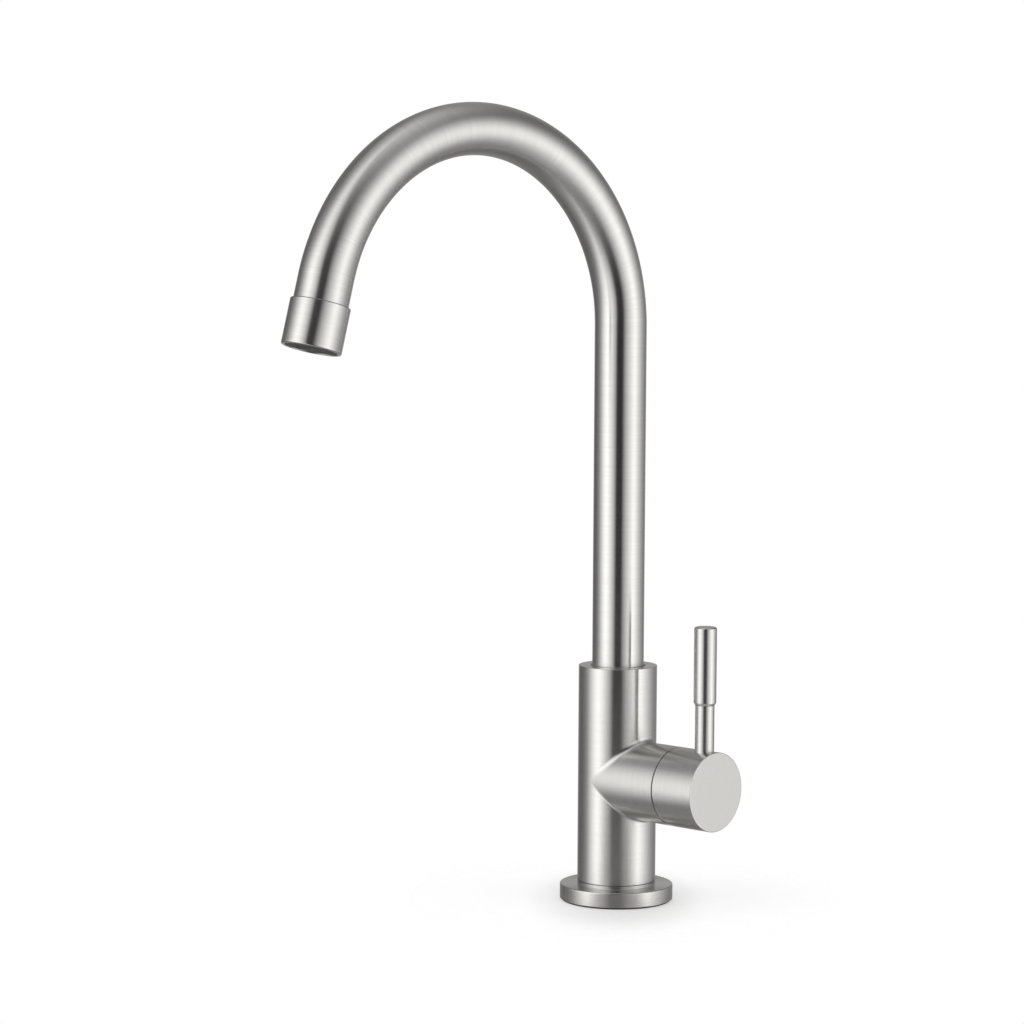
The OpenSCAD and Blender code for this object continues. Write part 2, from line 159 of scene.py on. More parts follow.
# Lever
LEVER_INSET = 7.4
LEVER_TILT = 10
ROD_R = 4.6
ROD_SEAT = 76.5
TANG_R = 3
TANG_LENGTH = 9
TENON_R = 3.9
TENON_LENGTH = 31.3
GRIP_R = 5.4
GRIP_TOP = 138.3
GRIP_LENGTH = 37.3
GRIP_TAPER = 1.2
GRIP_ROUND = 1
BESIDE_TIP = GRIP_ROUND + 0.1
LEVER_X = HUB_END_X - LEVER_INSET
GRIP_BOTTOM = GRIP_TOP - GRIP_LENGTH
TENON_TOP = GRIP_BOTTOM + TENON_LENGTH
TANG_BOTTOM = ROD_SEAT - TANG_LENGTH

# Aerator
CAP_STEP = 1.2
CAP_LENGTH = 21
CAP_THREAD_R = 11.05
CAP_JOINT = 0.45
CAP_BREAK = 0.35
CAP_LIP_ROUND = 0.68
MOUTH_WALL = 1.7
INSERT_X = 13.5
SCREEN_RECESS = 0.5
SCREEN_H = 0.6
WIRE_PITCH = 0.8
WIRE_R = 0.16
WIRES = 29
CAP_R = TUBE_R + CAP_STEP
MOUTH_R = CAP_R - MOUTH_WALL
SCREEN_MIDDLE = CAP_LENGTH - SCREEN_RECESS - SCREEN_H / 2


# ---------------------------------------------------------------- meshes


def along_boss():
    """The boss's frame: its Z axis points out of the column along the boss."""
    return Matrix.Translation((0, 0, BOSS_Z)) @ Matrix.Rotation(math.radians(90), 4, "Y")


def along_spout():
    """The spout's frame: its X axis is the way that the spout reaches."""
    return Matrix.Rotation(math.radians(-90 - SPOUT_SWING), 4, "Z")


def at_outlet():
    """The outlet's frame: its Z axis runs with the flow, from the top of the aerator cap."""
    centre = Matrix.Translation((ARCH_R, 0, ARCH_START))
    turn = Matrix.Rotation(math.radians(ARCH_SWEEP), 4, "Y")
    return along_spout() @ centre @ turn @ Matrix.Translation((-ARCH_R, 0, TAIL_LENGTH))


def at_lever():
    """The lever's frame: its Z axis is the lever's own."""
    return Matrix.Translation((LEVER_X, 0, 0))


def in_metres(place):
    """The same place with its shift in metres."""
    scaled = place.copy()
    scaled.translation = place.translation * MM
    return scaled


def make_piece(name, points, faces, material=None):
    """A new closed piece from points in millimetres, with its faces outwards."""
    mesh = bpy.data.meshes.new(name)
    mesh.from_pydata([Vector(point) * MM for point in points], [], faces)
    shell = bmesh.new()
    shell.from_mesh(mesh)
    bmesh.ops.remove_doubles(shell, verts=shell.verts, dist=1e-7)
    bmesh.ops.dissolve_degenerate(shell, edges=shell.edges, dist=1e-8)
    bmesh.ops.recalc_face_normals(shell, faces=shell.faces)
    shell.to_mesh(mesh)
    shell.free()
    piece = bpy.data.objects.new(name, mesh)
    bpy.context.scene.collection.objects.link(piece)
    if material:
        mesh.materials.append(material)
    return piece


def softened(profile, size, steps=4):
    """The profile with each sharp corner rounded, by the size or by the corner's own third value, but by no
    more than a share of its sides, and with a point beside each rounding that keeps flats flat."""
    soft = []
    beside = 0.15
    most = 0.4
    for index, (radius, height, *own) in enumerate(profile):
        corner = Vector((radius, height))
        back = Vector(profile[index - 1][:2]) - corner
        ahead = Vector(profile[(index + 1) % len(profile)][:2]) - corner
        bend = back.angle(-ahead)
        if radius == 0 or bend < math.radians(20):
            soft.append((radius, height))
            continue
        setback = min(own[0] if own else size, most * back.length, most * ahead.length)
        start = corner + back.normalized() * setback
        end = corner + ahead.normalized() * setback
        soft.append(tuple(start + back.normalized() * beside * setback))
        for step in range(steps + 1):
            t = step / steps
            soft.append(tuple((1 - t) ** 2 * start + 2 * t * (1 - t) * corner + t * t * end))
        soft.append(tuple(end + ahead.normalized() * beside * setback))
    return soft


def lathe(name, profiles, place, material=None, sections=SECTIONS):
    """One piece of closed profiles of (radius, height), each turned about the Z axis of its place."""
    points = []
    faces = []
    for profile in profiles:
        first = len(points)
        for section in range(sections):
            turn = FULL_TURN * section / sections
            points += [place @ Vector((r * math.cos(turn), r * math.sin(turn), z)) for r, z in profile]
        count = len(profile)
        for section in range(sections):
            here = first + section * count
            beside = first + (section + 1) % sections * count
            for index in range(count):
                after = (index + 1) % count
                if profile[index][0] or profile[after][0]:
                    faces.append((here + index, here + after, beside + after, beside + index))
    return make_piece(name, points, faces, material)


def bake_modifiers(piece):
    """Turns what the piece's modifiers make into its plain mesh."""
    graph = bpy.context.evaluated_depsgraph_get()
    mesh = bpy.data.meshes.new_from_object(piece.evaluated_get(graph))
    piece.modifiers.clear()
    piece.data = mesh
    mesh.name = piece.name


def cut(piece, cutters):
    """Takes the cutters out of the piece."""
    for cutter in cutters:
        modifier = piece.modifiers.new("cut", "BOOLEAN")
        modifier.object = cutter
        modifier.operation = "DIFFERENCE"
        modifier.solver = "EXACT"
    bake_modifiers(piece)
    for cutter in cutters:
        bpy.data.objects.remove(cutter)


def bar(name, radius, low, high, place, sections=96):
    """A round cutter from one height to another."""
    return lathe(name, [[(0, low), (radius, low), (radius, high), (0, high)]], place, sections=sections)


def block(name, low, high, place):
    """A square cutter from its lowest to its highest corner."""
    points = [place @ Vector((x, y, z)) for x in (low[0], high[0]) for y in (low[1], high[1])
              for z in (low[2], high[2])]
    faces = [(0, 1, 3, 2), (4, 6, 7, 5), (0, 4, 5, 1), (2, 3, 7, 6), (0, 2, 6, 4), (1, 5, 7, 3)]
    return make_piece(name, points, faces)


def smooth(piece, limit=35):
    """Smooth shading that keeps edges sharper than the limit, in degrees, and keeps flats flat."""
    piece.data.shade_smooth()
    piece.data.set_sharp_from_angle(angle=math.radians(limit))
    flats = piece.modifiers.new("flats", "WEIGHTED_NORMAL")
    flats.keep_sharp = True
    bake_modifiers(piece)


def brush(piece, frames):
    """Gives every corner its place in the frame that its face was turned in, for the grain, and a UV map
    whose U runs round that frame's axis, for the direction of the brushing."""
    mesh = piece.data
    turned = mesh.attributes.new("turned", "FLOAT_VECTOR", "CORNER")
    brushing = mesh.uv_layers.new(name="brushing")
    frames = [(in_metres(place).inverted(), holds) for place, holds in frames]
    for face in mesh.polygons:
        into = next(matrix for matrix, holds in frames if holds(face.center / MM))
        middle = into @ face.center
        about = math.atan2(middle.y, middle.x)
        is_flat = abs((into.to_3x3() @ face.normal).z) > 0.7
        for corner in face.loop_indices:
            point = into @ mesh.vertices[mesh.loops[corner].vertex_index].co
            radius = math.hypot(point.x, point.y)
            turn = math.atan2(point.y, point.x) if radius > MM / 100 else about
            turn = about + (turn - about + math.pi) % FULL_TURN - math.pi
            turned.data[corner].vector = point
            brushing.data[corner].uv = (turn / FULL_TURN, (radius if is_flat else point.z) * 10)


def everywhere(point):
    """Says that a frame holds the whole piece."""
    return True


def on_boss(point):
    """Says whether a point of the body belongs to the boss."""
    rise = abs(point.z - BOSS_Z)
    near = 0.01
    return point.x > rise - near and rise < COLUMN_R + near


def on_weld(point):
    """Says whether a point of the body lies on the weld between column and boss, and not in its bores."""
    rise = abs(point.z - BOSS_Z)
    is_inside = math.hypot(point.y, min(point.x, rise)) < COLUMN_R - COLUMN_WALL / 2
    if point.x < 0 or point.z < COLUMN_FOOT or is_inside:
        return False
    up, out = weld_reaches(math.asin(max(-1, min(1, point.y / COLUMN_R))), point.z - BOSS_Z)
    level = math.sqrt(max(0, COLUMN_R ** 2 - point.y ** 2))
    return point.x < level + out and rise < level + up


def finish_turned(piece, place, node, body):
    """Shades and brushes a turned piece and puts it on its body in its node's stead."""
    smooth(piece)
    brush(piece, [(place, everywhere)])
    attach(piece, body)
    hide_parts(node)


# ---------------------------------------------------------------- node trees


def new_tree(name, kind, inputs, outputs):
    """A node group with named inputs and outputs, and its two end nodes."""
    tree = bpy.data.node_groups.new(name, kind)
    for label, socket_type, value in inputs:
        socket = tree.interface.new_socket(label, in_out="INPUT", socket_type=socket_type)
        if value is not None:
            socket.default_value = value
    for label, socket_type in outputs:
        tree.interface.new_socket(label, in_out="OUTPUT", socket_type=socket_type)
    return tree, tree.nodes.new("NodeGroupInput").outputs, tree.nodes.new("NodeGroupOutput").inputs


def add_node(tree, kind, settings=None, **inputs):
    """Adds a node, sets its properties and fills or links its inputs, named with _ for a space."""
    node = tree.nodes.new(kind)
    for name, value in (settings or {}).items():
        setattr(node, name, value)
    for name, value in inputs.items():
        connect(tree, value, node.inputs[name.replace("_", " ")])
    return node


def connect(tree, value, socket):
    """Links a socket to a socket, or sets it to a value."""
    if isinstance(value, bpy.types.NodeSocket):
        tree.links.new(value, socket)
    else:
        socket.default_value = value


def calc(tree, operation, *values, clamp=False):
    """One step of arithmetic."""
    node = tree.nodes.new("ShaderNodeMath")
    node.operation = operation
    node.use_clamp = clamp
    for value, socket in zip(values, node.inputs):
        connect(tree, value, socket)
    return node.outputs[0]


def ramp(tree, value, start, end, low=0.0, high=1.0, shape="LINEAR"):
    """A value that goes from low at the start to high at the end, and no further."""
    return add_node(tree, "ShaderNodeMapRange", {"interpolation_type": shape}, Value=value, From_Min=start,
                    From_Max=end, To_Min=low, To_Max=high).outputs[0]


def combine(tree, x, y, z):
    """A vector from three values."""
    return add_node(tree, "ShaderNodeCombineXYZ", X=x, Y=y, Z=z).outputs[0]


def run_tree(name, tree, values):
    """The plain mesh piece that a geometry tree makes from these named values."""
    piece = bpy.data.objects.new(name, bpy.data.meshes.new(name))
    bpy.context.scene.collection.objects.link(piece)
    modifier = piece.modifiers.new(name, "NODES")
    modifier.node_group = tree
    for item in tree.interface.items_tree:
        if item.item_type == "SOCKET" and item.in_out == "INPUT" and item.name in values:
            modifier[item.identifier] = values[item.name]
    bake_modifiers(piece)
    return piece


def gooseneck_tree():
    """A straight tube that is bent round the arch, where its section is a little flattened as in any bent
    tube, with its straight coordinates kept for the grain."""
    tree, given, result = new_tree(
        "Gooseneck", "GeometryNodeTree",
        [("Radius", "NodeSocketFloat", 0), ("Bottom", "NodeSocketFloat", 0),
         ("Arch start", "NodeSocketFloat", 0), ("Arch radius", "NodeSocketFloat", 1),
         ("Sweep", "NodeSocketFloat", 0), ("Tail", "NodeSocketFloat", 0), ("Swing", "NodeSocketFloat", 0),
         ("Flattening", "NodeSocketFloat", 0), ("Ramp", "NodeSocketFloat", 0.2),
         ("Sections", "NodeSocketInt", 96), ("Rings", "NodeSocketInt", 200),
         ("Finish", "NodeSocketMaterial", None)],
        [("Mesh", "NodeSocketGeometry")])
    straight = calc(tree, "SUBTRACT", given["Arch start"], given["Bottom"])
    bent = calc(tree, "MULTIPLY", given["Arch radius"], given["Sweep"])
    length = calc(tree, "ADD", calc(tree, "ADD", straight, bent), given["Tail"])
    tube = add_node(tree, "GeometryNodeMeshCylinder", {"fill_type": "NONE"}, Vertices=given["Sections"],
                    Side_Segments=given["Rings"], Radius=given["Radius"], Depth=length)
    position = tree.nodes.new("GeometryNodeInputPosition").outputs[0]
    place = add_node(tree, "ShaderNodeSeparateXYZ", Vector=position)
    middle = calc(tree, "ADD", given["Bottom"], calc(tree, "MULTIPLY", length, 0.5))
    height = calc(tree, "ADD", place.outputs["Z"], middle)
    kept = add_node(tree, "GeometryNodeStoreNamedAttribute",
                    {"data_type": "FLOAT_VECTOR", "domain": "CORNER"},
                    Geometry=tube.outputs["Mesh"], Name="turned",
                    Value=combine(tree, place.outputs["X"], place.outputs["Y"], height))
    mapped = add_node(tree, "GeometryNodeStoreNamedAttribute", {"data_type": "FLOAT2", "domain": "CORNER"},
                      Geometry=kept.outputs[0], Name="brushing", Value=tube.outputs["UV Map"])
    past = calc(tree, "SUBTRACT", height, given["Arch start"])
    angle = calc(tree, "DIVIDE", past, given["Arch radius"])
    angle = calc(tree, "MINIMUM", calc(tree, "MAXIMUM", angle, 0), given["Sweep"])
    spare = calc(tree, "SUBTRACT", past, calc(tree, "MULTIPLY", angle, given["Arch radius"]))
    from_ends = calc(tree, "MINIMUM", angle, calc(tree, "SUBTRACT", given["Sweep"], angle))
    flat = ramp(tree, from_ends, 0.0, given["Ramp"], 0.0, given["Flattening"], "SMOOTHSTEP")
    wide = calc(tree, "ADD", 1, calc(tree, "MULTIPLY", flat, 0.5))
    inwards = calc(tree, "MULTIPLY", place.outputs["X"], calc(tree, "SUBTRACT", 1, flat))
    sideways = calc(tree, "MULTIPLY", place.outputs["Y"], wide)
    arm = calc(tree, "SUBTRACT", given["Arch radius"], inwards)
    sine = calc(tree, "SINE", angle)
    cosine = calc(tree, "COSINE", angle)
    reach = calc(tree, "SUBTRACT", given["Arch radius"], calc(tree, "MULTIPLY", arm, cosine))
    reach = calc(tree, "ADD", reach, calc(tree, "MULTIPLY", spare, sine))
    rise = calc(tree, "ADD", given["Arch start"], calc(tree, "MULTIPLY", arm, sine))
    rise = calc(tree, "ADD", rise, calc(tree, "MULTIPLY", spare, cosine))
    curved = add_node(tree, "GeometryNodeSetPosition", Geometry=mapped.outputs[0],
                      Position=combine(tree, reach, sideways, rise))
    swung = add_node(tree, "GeometryNodeTransform", Geometry=curved.outputs[0],
                     Rotation=combine(tree, 0, 0, given["Swing"]))
    real = add_node(tree, "GeometryNodeRealizeInstances", Geometry=swung.outputs[0])
    finished = add_node(tree, "GeometryNodeSetMaterial", Geometry=real.outputs[0], Material=given["Finish"])
    connect(tree, finished.outputs[0], result["Mesh"])
    return tree


def woven_tree():
    """A round piece of woven wire: one family of wavy wires, and the same family turned over and across."""
    tree, given, result = new_tree(
        "Woven wire", "GeometryNodeTree",
        [("Radius", "NodeSocketFloat", 0.01), ("Pitch", "NodeSocketFloat", 0.001),
         ("Wire", "NodeSocketFloat", 0.0001), ("Wires", "NodeSocketInt", 9),
         ("Finish", "NodeSocketMaterial", None)],
        [("Mesh", "NodeSocketGeometry")])
    half = calc(tree, "DIVIDE", calc(tree, "SUBTRACT", given["Wires"], 1), 2)
    first = calc(tree, "MULTIPLY", calc(tree, "MULTIPLY", half, given["Pitch"]), -1)
    rows = add_node(tree, "GeometryNodeMeshLine", {"mode": "OFFSET"}, Count=given["Wires"],
                    Start_Location=combine(tree, 0, first, 0), Offset=combine(tree, 0, given["Pitch"], 0))
    where = tree.nodes.new("GeometryNodeInputPosition").outputs[0]
    across = add_node(tree, "ShaderNodeSeparateXYZ", Vector=where).outputs["Y"]
    squares = calc(tree, "SUBTRACT", calc(tree, "POWER", given["Radius"], 2), calc(tree, "POWER", across, 2))
    chord = calc(tree, "SQRT", calc(tree, "MAXIMUM", squares, 1e-8))
    line = add_node(tree, "GeometryNodeCurvePrimitiveLine", Start=(-1, 0, 0), End=(1, 0, 0))
    laid = add_node(tree, "GeometryNodeInstanceOnPoints", Points=rows.outputs[0], Instance=line.outputs[0],
                    Scale=combine(tree, chord, 1, 1))
    wires = add_node(tree, "GeometryNodeRealizeInstances", Geometry=laid.outputs[0])
    fine = add_node(tree, "GeometryNodeResampleCurve", {"mode": "LENGTH"}, Curve=wires.outputs[0],
                    Length=calc(tree, "DIVIDE", given["Pitch"], 4))
    spot = add_node(tree, "ShaderNodeSeparateXYZ", Vector=where)
    wave = calc(tree, "DIVIDE", math.pi, given["Pitch"])
    lift = calc(tree, "MULTIPLY", calc(tree, "COSINE", calc(tree, "MULTIPLY", spot.outputs["X"], wave)),
                calc(tree, "COSINE", calc(tree, "MULTIPLY", spot.outputs["Y"], wave)))
    wavy = add_node(tree, "GeometryNodeSetPosition", Geometry=fine.outputs[0],
                    Offset=combine(tree, 0, 0, calc(tree, "MULTIPLY", lift, given["Wire"])))
    section = add_node(tree, "GeometryNodeCurvePrimitiveCircle", Resolution=6, Radius=given["Wire"])
    solid = add_node(tree, "GeometryNodeCurveToMesh", Curve=wavy.outputs[0], Profile_Curve=section.outputs[0],
                     Fill_Caps=True)
    over = add_node(tree, "GeometryNodeTransform", Geometry=solid.outputs[0],
                    Rotation=(math.pi, 0, math.pi / 2))
    both = tree.nodes.new("GeometryNodeJoinGeometry")
    tree.links.new(solid.outputs[0], both.inputs[0])
    tree.links.new(over.outputs[0], both.inputs[0])
    real = add_node(tree, "GeometryNodeRealizeInstances", Geometry=both.outputs[0])
    finished = add_node(tree, "GeometryNodeSetMaterial", Geometry=real.outputs[0], Material=given["Finish"])
    connect(tree, finished.outputs[0], result["Mesh"])
    return tree


# ---------------------------------------------------------------- shader groups


def grain_group():
    """Streaks that run round the axis of the piece's own frame: wide ones, fine ones and loose cloudiness."""
    tree, given, result = new_tree(
        "Brushed grain", "ShaderNodeTree",
        [("Vector", "NodeSocketVector", None), ("Lines", "NodeSocketFloat", 2500),
         ("Length", "NodeSocketFloat", 40), ("Cloud size", "NodeSocketFloat", 60)],
        [("Streaks", "NodeSocketFloat"), ("Fine", "NodeSocketFloat"), ("Clouds", "NodeSocketFloat")])
    for label, finer in (("Streaks", 1), ("Fine", 3)):
        lines = calc(tree, "MULTIPLY", given["Lines"], finer)
        length = calc(tree, "MULTIPLY", given["Length"], finer)
        stretched = add_node(tree, "ShaderNodeVectorMath", {"operation": "MULTIPLY"})
        connect(tree, given["Vector"], stretched.inputs[0])
        connect(tree, combine(tree, length, length, lines), stretched.inputs[1])
        noise = add_node(tree, "ShaderNodeTexNoise", Vector=stretched.outputs[0], Scale=1.0, Detail=3.0)
        connect(tree, noise.outputs[0], result[label])
    clouds = add_node(tree, "ShaderNodeTexNoise", Vector=given["Vector"], Scale=given["Cloud size"],
                      Detail=2.0)
    connect(tree, clouds.outputs[0], result["Clouds"])
    return tree


def wear_and_sheen_group():
    """A mask of the convex edges, broken up a little: where handling has polished them, and where the
    materials paint a sheen on them.
    """
    tree, given, result = new_tree(
        "Edge wear and sheen", "ShaderNodeTree",
        [("Vector", "NodeSocketVector", None), ("Start", "NodeSocketFloat", 0.52),
         ("Full", "NodeSocketFloat", 0.6)],
        [("Mask", "NodeSocketFloat")])
    edges = tree.nodes.new("ShaderNodeNewGeometry").outputs["Pointiness"]
    mask = ramp(tree, edges, given["Start"], given["Full"])
    patches = add_node(tree, "ShaderNodeTexNoise", Vector=given["Vector"], Scale=300.0, Detail=2.0)
    broken = ramp(tree, patches.outputs[0], 0.3, 0.55, 0.45)
    connect(tree, calc(tree, "MULTIPLY", mask, broken), result["Mask"])
    return tree


def pebble_group():
    """The fine even grain of a moulded, cast or lapped surface."""
    tree, given, result = new_tree(
        "Moulded grain", "ShaderNodeTree",
        [("Vector", "NodeSocketVector", None), ("Grains", "NodeSocketFloat", 3000)],
        [("Grain", "NodeSocketFloat"), ("Patches", "NodeSocketFloat")])
    grain = add_node(tree, "ShaderNodeTexNoise", Vector=given["Vector"], Scale=given["Grains"], Detail=2.0)
    patches = add_node(tree, "ShaderNodeTexNoise", Vector=given["Vector"], Scale=120.0, Detail=3.0)
    connect(tree, grain.outputs[0], result["Grain"])
    connect(tree, patches.outputs[0], result["Patches"])
    return tree


GRAIN = grain_group()
WEAR_AND_SHEEN = wear_and_sheen_group()
PEBBLE = pebble_group()


# ---------------------------------------------------------------- materials


def new_material(name):
    """An empty material with its tree and its shader."""
    material = bpy.data.materials.new(name)
    material.use_nodes = True
    tree = material.node_tree
    return material, tree, tree.nodes["Principled BSDF"]


def use_group(tree, group, **inputs):
    """Places a shader group with its own values."""
    return add_node(tree, "ShaderNodeGroup", {"node_tree": group}, **inputs).outputs


def between(tree, mask, low, high):
    """A value that follows a mask from one level to another."""
    return ramp(tree, mask, 0.0, 1.0, low, high)


def blended(tree, mask, dark, light):
    """A colour that follows a mask from dark to light."""
    node = tree.nodes.new("ShaderNodeMix")
    node.data_type = "RGBA"
    connect(tree, mask, node.inputs["Factor"])
    connect(tree, (*dark, 1), node.inputs[6])
    connect(tree, (*light, 1), node.inputs[7])
    return node.outputs[2]


def brushed_metal(name, dark, light, rough, anisotropy, lines=2500, length=40, depth=0.3):
    """Metal brushed round its axis, with polished edges that also carry a painted sheen."""
    material, tree, shader = new_material(name)
    place = add_node(tree, "ShaderNodeAttribute", {"attribute_name": "turned"}).outputs["Vector"]
    grain = use_group(tree, GRAIN, Vector=place, Lines=lines, Length=length)
    wear_and_sheen = use_group(tree, WEAR_AND_SHEEN, Vector=place)["Mask"]
    # Convex edges are lighter in colour, a painted sheen, and a little less rough, which is real wear.
    tone = calc(tree, "ADD", calc(tree, "MULTIPLY", grain["Streaks"], 0.9), calc(tree, "MULTIPLY", wear_and_sheen, 0.4))
    connect(tree, blended(tree, tone, dark, light), shader.inputs["Base Color"])
    haze = calc(tree, "ADD", between(tree, grain["Clouds"], -0.02, 0.02),
                between(tree, grain["Fine"], -0.04, 0.04))
    roughness = calc(tree, "SUBTRACT", calc(tree, "ADD", haze, rough), calc(tree, "MULTIPLY", wear_and_sheen, 0.06))
    connect(tree, roughness, shader.inputs["Roughness"])
    bump = add_node(tree, "ShaderNodeBump", Strength=depth, Distance=2e-6, Height=grain["Fine"])
    connect(tree, bump.outputs[0], shader.inputs["Normal"])
    shader.inputs["Metallic"].default_value = 1
    if anisotropy:
        shader.inputs["Anisotropic"].default_value = anisotropy
        shader.inputs["Anisotropic Rotation"].default_value = 0.25
        tangent = add_node(tree, "ShaderNodeTangent", {"direction_type": "UV_MAP", "uv_map": "brushing"})
        connect(tree, tangent.outputs[0], shader.inputs["Tangent"])
    return material


def moulded(name, dark, light, rough, metallic=0, grains=3000, depth=0.3):
    """Plastic, rubber, ceramic or cast metal with a fine even grain."""
    material, tree, shader = new_material(name)
    place = tree.nodes.new("ShaderNodeTexCoord").outputs["Object"]
    grain = use_group(tree, PEBBLE, Vector=place, Grains=grains)
    wear_and_sheen = use_group(tree, WEAR_AND_SHEEN, Vector=place)["Mask"]
    # Convex edges are lighter in colour, a painted sheen.
    tone = calc(tree, "ADD", grain["Patches"], calc(tree, "MULTIPLY", wear_and_sheen, 0.3))
    connect(tree, blended(tree, tone, dark, light), shader.inputs["Base Color"])
    connect(tree, between(tree, grain["Grain"], rough - 0.06, rough + 0.06), shader.inputs["Roughness"])
    bump = add_node(tree, "ShaderNodeBump", Strength=depth, Distance=5e-6, Height=grain["Grain"])
    connect(tree, bump.outputs[0], shader.inputs["Normal"])
    shader.inputs["Metallic"].default_value = metallic
    return material


STEEL_DARK = (0.64, 0.63, 0.61)
STEEL_LIGHT = (0.79, 0.78, 0.76)
brushed_stainless = brushed_metal("brushed_stainless", STEEL_DARK, STEEL_LIGHT, 0.24, 0.93)
polished_lever = brushed_metal("polished_lever", STEEL_DARK, STEEL_LIGHT, 0.26, 0.85, lines=4000, depth=0.2)
blended_weld = brushed_metal("blended_weld", STEEL_DARK, STEEL_LIGHT, 0.28, 0.2)
satin_end = brushed_metal("satin_end", (0.72, 0.71, 0.69), (0.8, 0.79, 0.77), 0.36, 0, lines=900, length=900)
# A dark finish that paints the shade in the crevice where the tube goes into the aerator cap.
painted_joint_shade = brushed_metal("painted_joint_shade", (0.3, 0.3, 0.29), (0.4, 0.4, 0.39), 0.4, 0)
slot_finishes = {
    "brushed_stainless": brushed_stainless,
    "brass": moulded("machined_brass", (0.62, 0.44, 0.18), (0.8, 0.62, 0.32), 0.32, metallic=1),
    "black_rubber": moulded("black_rubber", (0.018, 0.018, 0.018), (0.04, 0.04, 0.04), 0.7, grains=5000),
    "white_plastic": moulded("white_plastic", (0.78, 0.78, 0.75), (0.86, 0.86, 0.83), 0.45),
    "grey_plastic": moulded("grey_plastic", (0.3, 0.33, 0.37), (0.38, 0.41, 0.45), 0.45),
    "white_ceramic": moulded("white_ceramic", (0.88, 0.87, 0.84), (0.94, 0.93, 0.9), 0.18, grains=6000,
                             depth=0.1),
    "steel_fittings": moulded("steel_fittings", (0.5, 0.5, 0.51), (0.62, 0.62, 0.63), 0.3, metallic=1),
    "screen_mesh": moulded("screen_wire", (0.1, 0.1, 0.1), (0.3, 0.3, 0.29), 0.45, metallic=1, grains=8000),
}


# ---------------------------------------------------------------- pieces


def weld_reaches(turn, side):
    """How far the weld reaches along the column and along the boss from their meeting line at this angle,
    where the two surfaces meet at a steeper or a flatter opening."""
    opening = math.tan(math.acos(min(1, math.sin(turn) ** 2)) / 2)
    along_column = (WELD_REACH if side > 0 else LOWER_WELD_REACH) * opening ** WELD_SPREAD
    return along_column, WELD_REACH * (1 - opening) + along_column * opening


def rounded_end(at, inward, soft, support, steps=4):
    """The end of the column or the boss, with a rounded edge and a supporting ring on both sides of it:
    (radius, height) from its side to its middle."""
    rows = [(COLUMN_R, at + inward * (soft + support)), (COLUMN_R, at + inward * soft)]
    for step in range(1, steps + 1):
        turn = math.radians(90 * step / steps)
        rows.append((COLUMN_R - soft * (1 - math.cos(turn)), at + inward * soft * (1 - math.sin(turn))))
    rows.append((COLUMN_R - soft - support, at))
    rows.append((0, at))
    return rows


def column_row(pair, levels):
    """Two points side by side on the column, from their two (radius, height) levels."""
    return [(r * c, r * s, z) for (r, z), (c, s) in zip(levels, pair)]


def weld_rows(pair, levels, reaches, side):
    """The weld's rounding above or below the boss, from the column to the boss."""
    rows = []
    for step in range(WELD_STEPS + 1):
        t = step / WELD_STEPS
        rows.append([(level + t * t * out, COLUMN_R * s, BOSS_Z + side * (level + (1 - t) ** 2 * up))
                     for (c, s), level, (up, out) in zip(pair, levels, reaches)])
    return rows


def boss_rows(pair, levels, reaches, side, end_rows):
    """The upper or lower half of the boss, from the weld over its rounded end to the middle."""
    rows = [[(level + out + more, COLUMN_R * s, BOSS_Z + side * level)
             for (c, s), level, (up, out) in zip(pair, levels, reaches)] for more in (0, BESIDE_WELD)]
    for radius, at in end_rows:
        rows.append([(at, radius * s, BOSS_Z + side * radius * max(0, c)) for c, s in pair])
    return rows


def body_skin():
    """The closed outside of column and boss, with a rounded weld where they meet."""
    points = []
    faces = []

    def strip(rows):
        """Joins rows of two points each, side by side, into quads."""
        first = len(points)
        for pair in rows:
            points.extend(pair)
        for index in range(len(rows) - 1):
            here = first + 2 * index
            faces.append((here, here + 1, here + 3, here + 2))

    bottom_rows = rounded_end(COLUMN_FOOT, 1, soft=COLLAR_BREAK, support=0.04)[::-1]
    top_rows = rounded_end(COLUMN_TOP, -1, soft=TOP_BREAK, support=0.06)
    seam_rows = rounded_end(SEAM_X, -1, soft=FINE_BREAK, support=0.05)
    for section in range(SECTIONS):
        turns = [FULL_TURN * (section + step) / SECTIONS for step in (0, 1)]
        pair = [(math.cos(turn), math.sin(turn)) for turn in turns]
        lower = [column_row(pair, [row, row]) for row in bottom_rows]
        upper = [column_row(pair, [row, row]) for row in top_rows]
        if pair[0][0] + pair[1][0] < 1e-9:
            middle = column_row(pair, [(COLUMN_R, BOSS_Z)] * 2)
            strip(lower + [middle])
            strip([middle] + upper)
            continue
        for side in (-1, 1):
            levels = [COLUMN_R * max(0, c) for c, s in pair]
            reaches = [weld_reaches(turn, side) for turn in turns]
            starts = [(COLUMN_R, BOSS_Z + side * (level + up)) for level, (up, out) in zip(levels, reaches)]
            beside = [(COLUMN_R, z + side * min(BESIDE_WELD, up))
                      for (r, z), (up, out) in zip(starts, reaches)]
            on_side = [column_row(pair, beside), column_row(pair, starts)]
            strip(lower + on_side if side < 0 else on_side[::-1] + upper)
            strip(weld_rows(pair, levels, reaches, side))
            strip(boss_rows(pair, levels, reaches, side, seam_rows))
    return make_piece("body_shell_skin", points, faces, brushed_stainless)


